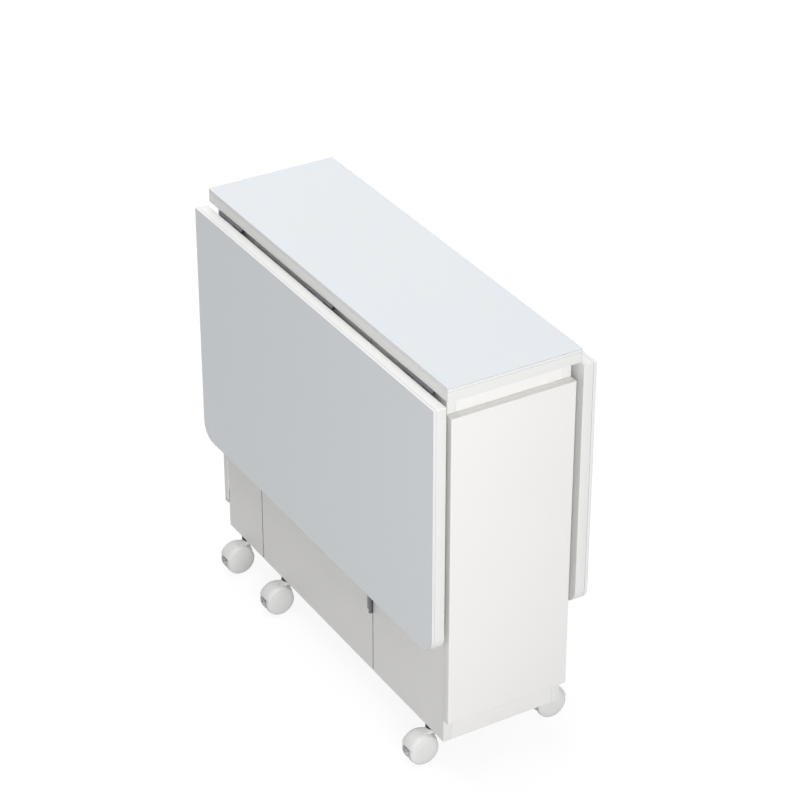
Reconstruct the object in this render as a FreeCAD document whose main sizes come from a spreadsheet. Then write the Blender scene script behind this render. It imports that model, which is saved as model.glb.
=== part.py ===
"""Narrow drop-leaf table on casters: glass-faced top and two hanging leaves on a slim cabinet.

Millimetres, +Z up, floor at z = 0, origin on the floor below the middle of the top.
+X runs along the table to its right end, -Y is the front leaf's side.  The leaves hang down at rest.
Each end has a panel door.  Each long side of the cabinet has a gate, a tall board on two butt
hinges with a caster of its own, which stands under the raised leaf in use.
"""
import FreeCAD, Part
import os
import re

import Sketcher

# ---------------------------------------------------------------- driving sizes

SIZES = {
    "table top": {
        "top_height": 760,
        "end_overhang": 18.5,
        "side_overhang": 9,
        "board_thick": 18,
        "glass_thick": 6,
        "top_corner": 4,
    },
    "hanging leaf": {
        "leaf_drop": 465,
        "leaf_corner": 33,
        "leaf_seam": 2,
        "stop_thick": 11.7,
        "stop_long": 60,
        "stop_wide": 40,
        "stop_reach": 317,
        "stop_gap": 0.5,
    },
    "leaf hinge": {
        "hinge_inset": 1,
        "hinge_sink": 4,
        "hinge_margin": 42.5,
        "hinge_long": 85,
        "hinge_flap": 23,
        "hinge_metal": 2,
        "knuckle_radius": 3.6,
        "knuckle_gap": 0.3,
        "pin_radius": 1.5,
        "pin_play": 0.05,
        "notch_play": 0.3,
    },
    "cabinet": {
        "cabinet_length": 763,
        "cabinet_width": 230,
        "cabinet_bottom": 67,
        "panel_thick": 16,
        "left_board": 131,
        "right_board": 233,
        "seam_gap": 3,
        "rail_tall": 43,
        "shelf_level": 415,
    },
    "gate hinge": {
        "butt_long": 70,
        "butt_low": 225,
        "butt_high": 600,
        "butt_flap": 14,
        "butt_deep": 17.5,
        "butt_metal": 1.5,
    },
    "end door": {
        "door_proud": 1,
        "door_low": 113,
        "door_high": 703,
        "door_thick": 16,
        "door_gap": 0.5,
        "door_round": 2.5,
        "pivot_edge": 4.2,
        "pivot_deep": 9,
        "pivot_radius": 1.5,
        "pivot_pin_long": 17,
        "tab_half": 3.2,
        "tab_thick": 3,
        "tab_from_end": 5,
        "slot_play": 0.5,
        "strap_tall": 28,
        "strap_wide": 12,
        "strap_thick": 2,
        "catch_long": 20,
        "catch_wide": 30,
        "catch_tall": 14,
        "catch_gap": 0.4,
        "strike_thick": 1,
    },
    "caster": {
        "caster_inset": 52.5,
        "gate_caster_inset": 74.5,
        "trail": 21,
        "wheel_radius": 28,
        "wheel_outer": 19.5,
        "wheel_crown": 18.2,
        "wheel_shoulder": 15,
        "wheel_inner": 6,
        "hub_radius": 13.5,
        "crown_radius": 23,
        "axle_radius": 3,
        "body_half": 5,
        "body_radius": 24,
        "hood_half": 17,
        "hood_gap": 0.9,
        "hood_thick": 1.9,
        "hood_front": 40,
        "hood_back": 158,
        "neck_radius": 10,
        "neck_low": 55.5,
        "neck_front": 5,
        "neck_slope": 19,
        "collar_tall": 5.5,
        "collar_gap": 0.3,
        "collar_radius": 10,
        "stem_radius": 4,
        "stem_long": 30,
        "king_radius": 3,
        "king_long": 14,
        "pedal_back": 17,
        "pedal_up": 6,
        "pedal_half": 2,
        "pedal_arm_half": 2.6,
        "pedal_play": 0.3,
        "pedal_tab_half": 4.7,
        "pedal_tab_thick": 7.5,
        "pedal_tab_low": 1,
        "pedal_tab_high": 8.5,
        "pedal_tab_gap": 0.6,
        "pedal_seat": 2.5,
    },
}

# sizes that follow from the ones above, written to the same sheet as formulas
FOLLOWING = {
    "top_length": "cabinet_length + 2 * end_overhang",
    "top_width": "cabinet_width + 2 * side_overhang",
    "leaf_length": "top_length",
    "hinge_pitch": "leaf_length / 2 - hinge_margin - hinge_long / 2",
    "seam_left": "cabinet_length / 2 - left_board",
    "seam_right": "cabinet_length / 2 - right_board",
    "door_width": "cabinet_width + 2 * door_proud",
    "caster_pitch": "cabinet_length / 2 - caster_inset",
    "gate_caster_left": "seam_left - gate_caster_inset",
    "swivel_spread": "cabinet_width / 2 - panel_thick / 2",
}

doc = FreeCAD.newDocument("DropLeafTable")
sheet = doc.addObject("Spreadsheet::Sheet", "Sizes")
NAMES = set()
row = 1
for group, sizes in SIZES.items():
    sheet.set(f"A{row}", group)
    for alias, value in sizes.items():
        row += 1
        sheet.set(f"A{row}", alias.replace("_", " "))
        sheet.set(f"B{row}", str(value))
        sheet.setAlias(f"B{row}", alias)
        NAMES.add(alias)
    row += 1
sheet.set(f"A{row}", "worked out")
for alias, formula in FOLLOWING.items():
    row += 1
    sheet.set(f"A{row}", alias.replace("_", " "))
    sheet.set(f"B{row}", f"={formula}")
    sheet.setAlias(f"B{row}", alias)
    NAMES.add(alias)
doc.recompute()

# ---------------------------------------------------------------- levels and faces worked out

UNDER_TOP = "(top_height - glass_thick - board_thick)"
BOARD_TOP = "(top_height - glass_thick)"
HINGE_Y = "(top_width / 2 - hinge_inset)"
HINGE_Z = f"({UNDER_TOP} - hinge_sink)"
LEAF_Y = f"({HINGE_Y} + hinge_sink)"
LEAF_HIGH = f"({HINGE_Z} - leaf_seam - hinge_inset)"
OUTER_Y = "(cabinet_width / 2)"
INNER_Y = "(cabinet_width / 2 - panel_thick)"
END_X = "(cabinet_length / 2)"
GATE_TOP = f"({UNDER_TOP} - stop_thick - stop_gap)"
FLOOR_LOW = "(door_low + 1)"
DECK_LOW = f"({UNDER_TOP} - panel_thick)"
BUTT_Y = f"({OUTER_Y} + knuckle_radius)"
PIVOT_X = f"({END_X} + door_gap + pivot_deep)"
PIVOT_Y = "(door_width / 2 - pivot_edge)"
DOOR_X = f"({END_X} + door_gap)"
WHEEL_Y = "(swivel_spread + trail)"

X_AXIS = FreeCAD.Vector(1, 0, 0)
Y_AXIS = FreeCAD.Vector(0, 1, 0)
Z_AXIS = FreeCAD.Vector(0, 0, 1)
ALONG_X = FreeCAD.Rotation(Y_AXIS, 90)
ALONG_Z = FreeCAD.Rotation()
HALF_TURN = FreeCAD.Rotation(Z_AXIS, 180)


def bound(text):
    """The text with every size written as the sheet's own cell."""
    return re.sub(r"[a-z][a-z_]*", lambda m: "Sizes." + m[0] if m[0] in NAMES else m[0], str(text))


def place(thing, x, y, z, turn=ALONG_Z):
    thing.Placement = FreeCAD.Placement(FreeCAD.Vector(), turn)
    for axis, value in zip("xyz", (x, y, z)):
        thing.setExpression(f"Placement.Base.{axis}", bound(value))


def span(side, near, far):
    """A stretch from near to far, measured out from the middle plane to the given side."""
    return (near, far) if side > 0 else (f"-({far})", f"-({near})")


def about(middle, half):
    return f"{middle} - ({half})", f"{middle} + ({half})"


# ---------------------------------------------------------------- plain shapes


def box(name, x, y, z):
    """A block between a low and a high face on each axis."""
    block = doc.addObject("Part::Box", name)
    for side, (low, high) in zip(("Length", "Width", "Height"), (x, y, z)):
        block.setExpression(side, bound(f"({high}) - ({low})"))
    place(block, x[0], y[0], z[0])
    return block


def rod(name, radius, length, x, y, z, turn=ALONG_Z):
    """A round bar that starts at the point and runs along +Z, or along +X when turned."""
    bar = doc.addObject("Part::Cylinder", name)
    bar.setExpression("Radius", bound(radius))
    bar.setExpression("Height", bound(length))
    place(bar, x, y, z, turn)
    return bar


def cut(name, base, tools):
    """The base with the tools taken away, one boolean for all of them."""
    result = doc.addObject("Part::Cut", name)
    result.Base = base
    result.Tool = tools[0] if len(tools) == 1 else join(f"{name}_cutters", tools)
    return result


def join(name, parts):
    result = doc.addObject("Part::MultiFuse", name)
    result.Shapes = parts
    result.Refine = True
    return result


def group(name, parts):
    """Several like pieces of one sub-part, kept as separate solids."""
    result = doc.addObject("Part::Compound", name)
    result.Links = parts
    return result


def rounded(name, base, radius, direction, wanted=lambda edge: True):
    """The base with its straight edges along the direction rounded off."""
    doc.recompute()
    result = doc.addObject("Part::Fillet", name)
    result.Base = base
    picked = []
    for number, edge in enumerate(base.Shape.Edges, 1):
        run = edge.Vertexes[-1].Point - edge.Vertexes[0].Point
        if run.Length > 0 and abs(run.normalize().dot(direction)) > 0.999 and wanted(edge):
            picked.append((number, sheet.get(radius), sheet.get(radius)))
    result.Edges = picked
    return result


def outline(body, plane, points):
    """A closed sketch of straight lines whose corners are tied to the sizes."""
    sketch = body.newObject("Sketcher::SketchObject", body.Name + "Profile")
    origin_plane = next(f for f in body.Origin.OriginFeatures if f.Role == plane)
    sketch.AttachmentSupport = [(origin_plane, "")]
    sketch.MapMode = "FlatFace"
    corners = [FreeCAD.Vector(number(u), number(v), 0) for u, v in points]
    count = len(corners)
    for k in range(count):
        sketch.addGeometry(Part.LineSegment(corners[k], corners[(k + 1) % count]), False)
    for k in range(count):
        sketch.addConstraint(Sketcher.Constraint("Coincident", k, 2, (k + 1) % count, 1))
    for k, (u, v) in enumerate(points):
        for kind, value in (("DistanceX", u), ("DistanceY", v)):
            if value == "0":
                line = -2 if kind == "DistanceX" else -1
                sketch.addConstraint(Sketcher.Constraint("PointOnObject", k, 1, line))
                continue
            index = sketch.addConstraint(Sketcher.Constraint(kind, -1, 1, k, 1, number(value)))
            sketch.setExpression(f"Constraints[{index}]", bound(value))
    return sketch


def number(text):
    """The value that an expression of sizes has now."""
    result = sheet.evalExpression(bound(text))
    return float(getattr(result, "Value", result))


# ---------------------------------------------------------------- table top and cabinet

parts = []


def keep(piece, label):
    piece.Label = label
    parts.append(piece)
    return piece


def table_top():
    """White board with a glass plate of the same outline on it."""
    x = about("0", "top_length / 2")
    y = about("0", "top_width / 2")
    board = box("TopBoardBlank", x, y, (UNDER_TOP, BOARD_TOP))
    glass = box("TopGlassBlank", x, y, (BOARD_TOP, "top_height"))
    keep(rounded("TopBoard", board, "top_corner", Z_AXIS), "top_board")
    keep(rounded("TopGlass", glass, "top_corner", Z_AXIS), "top_glass")


def side_board(side, end):
    """Fixed board of a long side, let in at the top for the leaf hinge, at its end for the door."""
    name = ("Back" if side > 0 else "Front") + ("Right" if end > 0 else "Left")
    seam = "seam_right" if end > 0 else "seam_left"
    x = span(end, f"{seam} + seam_gap / 2", END_X)
    y = span(side, INNER_Y, OUTER_Y)
    board = box(f"Side{name}Blank", x, y, ("cabinet_bottom", UNDER_TOP))
    hinge_x = f"{'' if end > 0 else '-'}hinge_pitch"
    notch = box(
        f"Side{name}Notch",
        about(hinge_x, "hinge_long / 2 + notch_play"),
        span(side, f"{INNER_Y} - 1", f"{OUTER_Y} + 1"),
        (f"{UNDER_TOP} - hinge_metal - notch_play", f"{UNDER_TOP} + 1"),
    )
    caster_x = f"{'' if end > 0 else '-'}caster_pitch"
    caster_y = f"{'' if side > 0 else '-'}swivel_spread"
    socket = rod(f"Side{name}Socket", "stem_radius", "stem_long", caster_x, caster_y, "cabinet_bottom")
    cutters = [notch, socket]
    if side == end:
        cutters += [strap_seat(name, side, end, top) for top in (True, False)]
    keep(cut(f"Side{name}", board, cutters), f"side_board_{name_of(side, end)}")


def name_of(side, end=None):
    word = "back" if side > 0 else "front"
    return word if end is None else word + ("_right" if end > 0 else "_left")


def gate(side):
    """Tall board between the two seams, hung at the right seam, with a caster under its left end."""
    name = name_of(side)
    x = ("-seam_left + seam_gap / 2", "seam_right - seam_gap / 2")
    board = box(f"Gate{name}Blank", x, span(side, INNER_Y, OUTER_Y), ("cabinet_bottom", GATE_TOP))
    caster_y = f"{'' if side > 0 else '-'}swivel_spread"
    socket = rod(
        f"Gate{name}Socket", "stem_radius", "stem_long", "-gate_caster_left", caster_y, "cabinet_bottom"
    )
    keep(cut(f"Gate{name}", board, [socket]), f"gate_{name}")


def cabinet_inside():
    """Floor, deck under the top, two partitions, a shelf in each end and the four end strips."""
    inner = about("0", INNER_Y)
    floor_top = f"({FLOOR_LOW} + panel_thick)"
    keep(box("Floor", about("0", END_X), inner, (FLOOR_LOW, floor_top)), "floor_board")
    rail_x = f"({END_X} - panel_thick)"
    keep(box("Deck", about("0", rail_x), inner, (DECK_LOW, UNDER_TOP)), "deck_board")
    upright = (floor_top, DECK_LOW)
    hinge_x = ("seam_right + seam_gap / 2", "seam_right + seam_gap / 2 + panel_thick")
    strike_x = ("-seam_left - seam_gap / 2 - panel_thick", "-seam_left - seam_gap / 2")
    keep(box("HingePartition", hinge_x, inner, upright), "partition_right")
    keep(box("StrikePartition", strike_x, inner, upright), "partition_left")
    shelf = ("shelf_level", "shelf_level + panel_thick")
    keep(box("ShelfRight", (hinge_x[1], rail_x), inner, shelf), "shelf_right")
    keep(box("ShelfLeft", (f"-{rail_x}", strike_x[0]), inner, shelf), "shelf_left")
    for end, word in ((1, "right"), (-1, "left")):
        x = span(end, rail_x, END_X)
        rail = box(f"Rail{word}", x, inner, (f"{UNDER_TOP} - rail_tall", UNDER_TOP))
        keep(rail, f"end_rail_{word}")
        keep(box(f"Plinth{word}", x, inner, ("cabinet_bottom", FLOOR_LOW)), f"plinth_{word}")


# ---------------------------------------------------------------- leaves and their hinges


def leaf(side):
    """Hanging leaf: board inside, glass outside, a rest block for the gate on the inner face."""
    name = name_of(side)
    y_board = span(side, LEAF_Y, f"{LEAF_Y} + board_thick")
    y_glass = span(side, f"{LEAF_Y} + board_thick", f"{LEAF_Y} + board_thick + glass_thick")
    x = about("0", "leaf_length / 2")
    z = (f"{LEAF_HIGH} - leaf_drop", LEAF_HIGH)
    middle = number(f"{LEAF_HIGH} - leaf_drop / 2")
    for word, y in (("board", y_board), ("glass", y_glass)):
        blank = box(f"Leaf{name}{word}Blank", x, y, z)
        outer = rounded(
            f"Leaf{name}{word}", blank, "leaf_corner", Y_AXIS, lambda e: e.CenterOfMass.z < middle
        )
        keep(outer, f"leaf_{word}_{name}")
    gate_x = "seam_right - knuckle_radius - panel_thick / 2"
    block = box(
        f"Stop{name}",
        about(gate_x, "stop_wide / 2"),
        span(side, f"{LEAF_Y} - stop_thick", LEAF_Y),
        (f"{HINGE_Z} - stop_reach - stop_long", f"{HINGE_Z} - stop_reach"),
    )
    keep(block, f"gate_rest_{name}")


def leaf_hinge_half(side, place_number, moving):
    """One flap with its knuckles: two on the top's flap with the pin riveted in, one on the leaf's."""
    kind = "Swing" if moving else "Fixed"
    name = f"{kind}{name_of(side)}{place_number}"
    middle = f"(hinge_pitch * {place_number})"
    start = f"({middle} - hinge_long / 2)"
    y = f"{'' if side > 0 else '-'}{HINGE_Y}"
    if moving:
        flap_y = span(side, f"{LEAF_Y} - hinge_metal", LEAF_Y)
        flap_z = (f"{HINGE_Z} - hinge_flap", HINGE_Z)
    else:
        flap_y = span(side, f"{HINGE_Y} - hinge_flap", HINGE_Y)
        flap_z = (f"{UNDER_TOP} - hinge_metal", UNDER_TOP)
    flap = box(f"{name}Flap", about(middle, "hinge_long / 2"), flap_y, flap_z)
    knuckles = []
    gaps = []
    for k in range(3):
        low = f"{start} + hinge_long * {k} / 3"
        high = f"{start} + hinge_long * {k + 1} / 3"
        if (k == 1) == moving:
            length = "hinge_long / 3 - knuckle_gap"
            begin = f"{low} + knuckle_gap / 2"
            knuckles.append(rod(f"{name}Knuckle{k}", "knuckle_radius", length, begin, y, HINGE_Z, ALONG_X))
        else:
            room = span(side, f"{HINGE_Y} - knuckle_radius - 1", f"{HINGE_Y} + knuckle_radius + 1")
            tall = about(HINGE_Z, "knuckle_radius + knuckle_gap")
            if not moving:
                tall = (f"{HINGE_Z} - knuckle_radius", f"{UNDER_TOP} + 1")
            sides = (f"{low} - knuckle_gap / 2", f"{high} + knuckle_gap / 2")
            gaps.append(box(f"{name}Gap{k}", sides, room, tall))
    open_flap = cut(f"{name}OpenFlap", flap, gaps)
    if not moving:
        pin_start = f"{start} + knuckle_gap / 2"
        pin = rod(
            f"{name}Pin", "pin_radius", "hinge_long - knuckle_gap", pin_start, y, HINGE_Z, ALONG_X
        )
        return join(f"{name}Half", [open_flap, *knuckles, pin])
    bore = rod(f"{name}Bore", "pin_radius + pin_play", "hinge_long", start, y, HINGE_Z, ALONG_X)
    return cut(f"{name}Half", join(f"{name}Solid", [open_flap, *knuckles]), [bore])


def leaf_hinges():
    """Three hinges for each leaf: flaps under the top that hold the pins, flaps on the leaves."""
    fixed = []
    for side in (-1, 1):
        swing = []
        for k in (-1, 0, 1):
            fixed.append(leaf_hinge_half(side, k, False))
            swing.append(leaf_hinge_half(side, k, True))
        keep(group(f"LeafFlaps{name_of(side)}", swing), f"leaf_hinge_flaps_{name_of(side)}")
    keep(group("TopFlaps", fixed), "leaf_hinge_top_flaps")


def butt_half(side, level, on_gate):
    """One flap of a gate's butt hinge: on the gate's face, or on the edge of the fixed board."""
    name = f"Butt{'Gate' if on_gate else 'Board'}{name_of(side)}{level}"
    start = f"({level} - butt_long / 2)"
    y = f"{'' if side > 0 else '-'}{BUTT_Y}"
    z = about(level, "butt_long / 2")
    if on_gate:
        x = ("seam_right - butt_flap", "seam_right")
        flap = box(f"{name}Flap", x, span(side, OUTER_Y, f"{OUTER_Y} + hinge_metal"), z)
    else:
        x = ("seam_right + seam_gap / 2 - butt_metal", "seam_right + seam_gap / 2")
        flap = box(f"{name}Flap", x, span(side, f"{BUTT_Y} - butt_deep", BUTT_Y), z)
    knuckles = []
    gaps = []
    for k in range(3):
        low = f"{start} + butt_long * {k} / 3"
        high = f"{start} + butt_long * {k + 1} / 3"
        if (k == 1) == on_gate:
            length = "butt_long / 3 - knuckle_gap"
            begin = f"{low} + knuckle_gap / 2"
            knuckles.append(rod(f"{name}Knuckle{k}", "knuckle_radius", length, "seam_right", y, begin))
        else:
            room = about("seam_right", "knuckle_radius + knuckle_gap")
            deep = span(side, OUTER_Y, f"{BUTT_Y} + knuckle_radius + 1")
            tall = (f"{low} - knuckle_gap / 2", f"{high} + knuckle_gap / 2")
            gaps.append(box(f"{name}Gap{k}", room, deep, tall))
    open_flap = cut(f"{name}OpenFlap", flap, gaps)
    if not on_gate:
        pin_start = f"{start} + knuckle_gap / 2"
        pin = rod(f"{name}Pin", "pin_radius", "butt_long - knuckle_gap", "seam_right", y, pin_start)
        return join(f"{name}Half", [open_flap, *knuckles, pin])
    bore = rod(f"{name}Bore", "pin_radius + pin_play", "butt_long", "seam_right", y, start)
    return cut(f"{name}Half", join(f"{name}Solid", [open_flap, *knuckles]), [bore])


def gate_hinges():
    """Two butt hinges for each gate: the flaps on the fixed boards hold the pins."""
    on_board = []
    on_gate = []
    for side in (-1, 1):
        for level in ("butt_low", "butt_high"):
            on_board.append(butt_half(side, level, False))
            on_gate.append(butt_half(side, level, True))
    keep(group("ButtBoardFlaps", on_board), "gate_hinge_board_flaps")
    keep(group("ButtGateFlaps", on_gate), "gate_hinge_gate_flaps")


# ---------------------------------------------------------------- end doors


def tab_levels(top):
    """Low and high face of the pivot tab near the door's top or bottom end."""
    if top:
        return "door_high - tab_from_end - tab_thick", "door_high - tab_from_end"
    return "door_low + tab_from_end", "door_low + tab_from_end + tab_thick"


def strap_box(name, side, end, top, tool=False):
    """The upright strap of a pivot bracket, let into the end of the side board."""
    low, high = tab_levels(top)
    z = (f"{high} - strap_tall", high) if top else (low, f"{low} + strap_tall")
    x = span(end, f"{END_X} - strap_thick", f"{END_X} + {1 if tool else 0}")
    y = span(side, f"{PIVOT_Y} + tab_half - strap_wide", f"{PIVOT_Y} + tab_half + {1 if tool else 0}")
    return box(f"{name}Strap", x, y, z)


def strap_seat(name, side, end, top):
    word = "High" if top else "Low"
    return strap_box(f"Seat{name}{word}", side, end, top, tool=True)


def pivot_bracket(end, top):
    """Strap, tab and pin of one door pivot."""
    name = f"Pivot{'Right' if end > 0 else 'Left'}{'High' if top else 'Low'}"
    low, high = tab_levels(top)
    sign = "" if end > 0 else "-"
    tab = box(
        f"{name}Tab",
        span(end, f"{END_X} - strap_thick", PIVOT_X),
        span(end, f"{PIVOT_Y} - tab_half", f"{PIVOT_Y} + tab_half"),
        (low, high),
    )
    nose = rod(f"{name}Nose", "tab_half", "tab_thick", f"{sign}{PIVOT_X}", f"{sign}{PIVOT_Y}", low)
    middle = f"(({low} + {high}) / 2)"
    pin = rod(
        f"{name}Pin",
        "pivot_radius",
        "pivot_pin_long",
        f"{sign}{PIVOT_X}",
        f"{sign}{PIVOT_Y}",
        f"{middle} - pivot_pin_long / 2 + {'-3' if top else '3'}",
    )
    return join(name, [strap_box(name, end, end, top), tab, nose, pin])


def door(end):
    """Overlay panel door on two hidden pivots, with a steel plate for the catch."""
    word = "right" if end > 0 else "left"
    sign = "" if end > 0 else "-"
    x = span(end, DOOR_X, f"{DOOR_X} + door_thick")
    blank = box(f"Door{word}Blank", x, about("0", "door_width / 2"), ("door_low", "door_high"))
    panel = rounded(f"Door{word}Panel", blank, "door_round", Z_AXIS)
    cutters = []
    for top in (True, False):
        low, high = tab_levels(top)
        level = "High" if top else "Low"
        slot_x = span(end, f"{DOOR_X} - 1", f"{PIVOT_X} + tab_half + slot_play")
        slot_y = span(end, f"{PIVOT_Y} - tab_half - slot_play", "door_width / 2 + 1")
        slot_z = (f"{low} - slot_play", f"{high} + slot_play")
        cutters.append(box(f"Door{word}Slot{level}", slot_x, slot_y, slot_z))
        middle = f"(({low} + {high}) / 2)"
        cutters.append(
            rod(
                f"Door{word}Hole{level}",
                "pivot_radius + pin_play",
                "pivot_pin_long + 1",
                f"{sign}{PIVOT_X}",
                f"{sign}{PIVOT_Y}",
                f"{middle} - pivot_pin_long / 2 - 0.5 + {'-3' if top else '3'}",
            )
        )
    strike_y = span(-end, "catch_wide", "catch_wide * 2")
    strike_z = catch_levels()
    seat_x = span(end, f"{DOOR_X} - 1", f"{DOOR_X} + strike_thick")
    seat = box(f"Door{word}StrikeSeat", seat_x, strike_y, strike_z)
    keep(cut(f"Door{word}", panel, [*cutters, seat]), f"door_{word}")
    strike = box(f"Strike{word}", span(end, DOOR_X, f"{DOOR_X} + strike_thick"), strike_y, strike_z)
    keep(strike, f"door_strike_{word}")


def catch_levels():
    high = f"({UNDER_TOP} - rail_tall)"
    return f"{high} - catch_tall", high


def door_fittings():
    """The four pivot brackets and the two magnetic catches under the end rails."""
    brackets = [pivot_bracket(end, top) for end in (1, -1) for top in (True, False)]
    keep(group("PivotBrackets", brackets), "door_pivot_brackets")
    catches = []
    for end in (1, -1):
        face = f"{DOOR_X} - catch_gap"
        x = span(end, f"{face} - catch_long", face)
        catches.append(box(f"Catch{end}", x, span(-end, "catch_wide", "catch_wide * 2"), catch_levels()))
    keep(group("Catches", catches), "door_catches")


# ---------------------------------------------------------------- casters


def spots():
    """Name, x of the swivel and side of each of the six casters."""
    for side in (-1, 1):
        yield f"{name_of(side)}_right", "caster_pitch", side
        yield f"{name_of(side)}_left", "-caster_pitch", side
        yield f"{name_of(side)}_gate", "-gate_caster_left", side


def wheel_pair(name, x, side):
    """Two wheels and their axle in one turned profile."""
    body = doc.addObject("PartDesign::Body", f"Wheels{name}")
    half = [
        ("wheel_outer", "0"),
        ("wheel_outer", "hub_radius"),
        ("wheel_crown", "crown_radius"),
        ("wheel_shoulder", "wheel_radius"),
        ("wheel_inner", "wheel_radius"),
        ("wheel_inner", "axle_radius"),
    ]
    mirrored = [(f"-{u}", v) for u, v in reversed(half)]
    sketch = outline(body, "XY_Plane", half + mirrored)
    turned = body.newObject("PartDesign::Revolution", f"Turned{name}")
    turned.Profile = sketch
    turned.ReferenceAxis = (sketch, ["H_Axis"])
    turned.Angle = 360
    turn = ALONG_Z if side < 0 else HALF_TURN
    place(body, x, f"{'' if side > 0 else '-'}{WHEEL_Y}", "wheel_radius", turn)
    keep(body, f"caster_wheels_{name}")


def wedge(name, radius, half, start, finish):
    """A slice of a round bar along X, from one angle to another, measured from +Y up towards +Z."""
    bar = rod(name, radius, f"2 * ({half})", f"-({half})", "0", "0", ALONG_X)
    bar.setExpression("Angle", bound(f"{finish} - {start}"))
    bar.Placement.Rotation = ALONG_X.multiply(FreeCAD.Rotation(Z_AXIS, number(start) + 90))
    return bar


def neck(name, high):
    """The plate that rises from the web to the cap below the swivel."""
    body = doc.addObject("PartDesign::Body", name)
    front = "(trail + neck_radius - 1)"
    corners = [
        ("neck_front", "neck_front"),
        ("neck_slope", "neck_front"),
        (front, f"{high} - neck_front"),
        (front, high),
        ("neck_front", high),
    ]
    pad = body.newObject("PartDesign::Pad", f"{name}Pad")
    pad.Profile = outline(body, "YZ_Plane", corners)
    pad.setExpression("Length", bound("2 * body_half"))
    place(body, "-body_half", "0", "0")
    return body


def caster_body(name):
    """Web between the wheels, hood over them, neck up to the swivel, slot and pin for the pedal.

    It is drawn about the wheels' middle, with the swivel towards +Y.
    """
    up = "(neck_low - wheel_radius)"
    high = "(cabinet_bottom - collar_tall - collar_gap - wheel_radius)"
    inner = "(wheel_radius + hood_gap)"
    arc = ("hood_front", "hood_back")
    shell = cut(
        f"{name}Shell",
        wedge(f"{name}HoodOuter", f"{inner} + hood_thick", "hood_half", *arc),
        [rod(f"{name}HoodInner", inner, "4 * hood_half", "-2 * hood_half", "0", "0", ALONG_X)],
    )
    web = rod(f"{name}Web", "body_radius", "2 * body_half", "-body_half", "0", "0", ALONG_X)
    crown = wedge(f"{name}Crown", f"{inner} + hood_thick / 2", "body_half", *arc)
    cap = rod(f"{name}Cap", "neck_radius", f"{high} - {up}", "0", "trail", up)
    solid = join(f"{name}Joined", [web, crown, shell, neck(f"{name}Neck", f"({up} + 1)"), cap])
    king = rod(f"{name}King", "king_radius + pin_play", "king_long", "0", "trail", f"{high} - king_long + 1")
    bore = rod(f"{name}Bore", "axle_radius + pin_play", "4 * body_half", "-2 * body_half", "0", "0", ALONG_X)
    slot = box(
        f"{name}Slot",
        about("0", "pedal_half + pedal_play"),
        ("-body_radius - 1", "-pedal_back + pin_radius + pedal_arm_half"),
        about("pedal_up", "2 * pedal_arm_half"),
    )
    seat = box(
        f"{name}Seat",
        about("0", "body_half + 1"),
        ("-body_radius - 1", "-body_radius + pedal_seat"),
        about("pedal_up", "pedal_tab_high - pedal_tab_low + pedal_tab_gap"),
    )
    pin = rod(
        f"{name}PedalPin", "pin_radius", "2 * body_half", "-body_half", "-pedal_back", "pedal_up", ALONG_X
    )
    return join(f"{name}Whole", [cut(f"{name}Open", solid, [king, bore, slot, seat]), pin])


def brake_pedal(name):
    """Flat arm on the web's pin with a broad tab that shows below the end of the hood."""
    face = "(-body_radius - pedal_tab_gap)"
    arm = box(
        f"{name}Arm",
        about("0", "pedal_half"),
        (f"{face} - 1", "-pedal_back + pedal_arm_half"),
        about("pedal_up", "pedal_arm_half"),
    )
    tab = box(
        f"{name}Tab",
        about("0", "pedal_tab_half"),
        (f"{face} - pedal_tab_thick", face),
        ("pedal_tab_low", "pedal_tab_high"),
    )
    joined = join(f"{name}Joined", [arm, rounded(f"{name}TabRound", tab, "pedal_half", X_AXIS, outer_edge)])
    bore = rod(
        f"{name}Bore",
        "pin_radius + pin_play",
        "4 * pedal_half",
        "-2 * pedal_half",
        "-pedal_back",
        "pedal_up",
        ALONG_X,
    )
    return cut(f"{name}Whole", joined, [bore])


def outer_edge(edge):
    """True on the edges of a pedal's tab that are furthest from the wheels."""
    return edge.CenterOfMass.y < number("-body_radius - pedal_tab_gap - pedal_tab_thick / 2")


def collar(name, x, side):
    """Black collar under the board with its stem up in the board and king pin down in the neck."""
    y = f"{'' if side > 0 else '-'}swivel_spread"
    base = "(cabinet_bottom - collar_tall)"
    ring = rod(f"{name}Ring", "collar_radius", "collar_tall", x, y, base)
    stem = rod(f"{name}Stem", "stem_radius", "stem_long + 1", x, y, "cabinet_bottom - 1")
    king = rod(
        f"{name}King", "king_radius", "king_long - 1", x, y, f"{base} - king_long + 2"
    )
    return join(f"{name}Whole", [ring, stem, king])


def casters():
    collars = []
    for name, x, side in spots():
        turn = ALONG_Z if side < 0 else HALF_TURN
        y = f"{'' if side > 0 else '-'}{WHEEL_Y}"
        wheel_pair(name, x, side)
        body = caster_body(f"Caster{name}")
        place(body, x, y, "wheel_radius", turn)
        keep(body, f"caster_body_{name}")
        pedal = brake_pedal(f"Pedal{name}")
        place(pedal, x, y, "wheel_radius", turn)
        keep(pedal, f"caster_pedal_{name}")
        collars.append(collar(f"Collar{name}", x, side))
    keep(group("Collars", collars), "caster_collars")


# ---------------------------------------------------------------- build, check and write


def build():
    table_top()
    for side in (-1, 1):
        for end in (-1, 1):
            side_board(side, end)
        gate(side)
        leaf(side)
    cabinet_inside()
    leaf_hinges()
    gate_hinges()
    for end in (1, -1):
        door(end)
    door_fittings()
    casters()
    doc.recompute()


def check():
    """Stop before anything is written if a feature failed or a sub-part is no good solid."""
    for thing in doc.Objects:
        if {"Invalid", "Error"} & set(thing.State):
            raise RuntimeError(f"{thing.Name} failed: {thing.State}")
    for piece in parts:
        shape = piece.Shape
        if shape.isNull() or not shape.isValid() or shape.Volume <= 0:
            raise RuntimeError(f"{piece.Label} is not a valid solid")


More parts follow.
